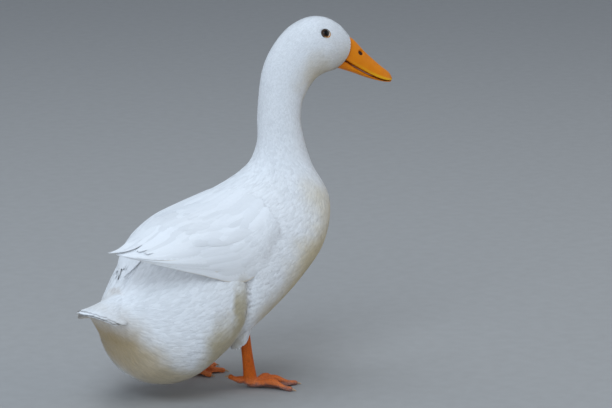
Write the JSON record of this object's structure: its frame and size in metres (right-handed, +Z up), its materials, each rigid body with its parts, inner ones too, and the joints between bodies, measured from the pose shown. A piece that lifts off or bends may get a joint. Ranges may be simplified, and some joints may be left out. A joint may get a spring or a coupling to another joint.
{
  "type": "white domestic duck model",
  "caption": "Life-size standing white domestic duck with folded wings, webbed orange feet and its head turned to its right.",
  "frame": {"origin": "on the floor, under the centre of the bounding box", "axes": "+X is the way the body faces, +Y is to the bird's left, +Z is up"},
  "size_m": [0.4134, 0.1826, 0.392],
  "materials": {
    "plumage": "soft white feathers",
    "leg_skin": "scaled orange skin",
    "bill": "satin orange-yellow horn",
    "nail": "pale horn",
    "claw": "dull horn",
    "eye": "wet gloss, near black"
  },
  "bodies": {
    "root": {"abdomen": "plumage", "bill_lower": "bill", "bill_nail": "nail", "bill_upper": "bill", "claw_hind_left": "claw", "claw_hind_right": "claw", "claw_inner_left": "claw", "claw_inner_right": "claw", "claw_middle_left": "claw", "claw_middle_right": "claw", "claw_outer_left": "claw", "claw_outer_right": "claw", "eye_left": "eye", "eye_right": "eye", "foot_left": "leg_skin", "foot_right": "leg_skin", "head": "plumage", "neck": "plumage", "rump": "plumage", "shank_left": "leg_skin", "shank_right": "leg_skin", "tail": "plumage", "thigh_left": "plumage", "thigh_right": "plumage", "trunk": "plumage", "wing_left": "plumage", "wing_right": "plumage"}
  },
  "joints": []
}
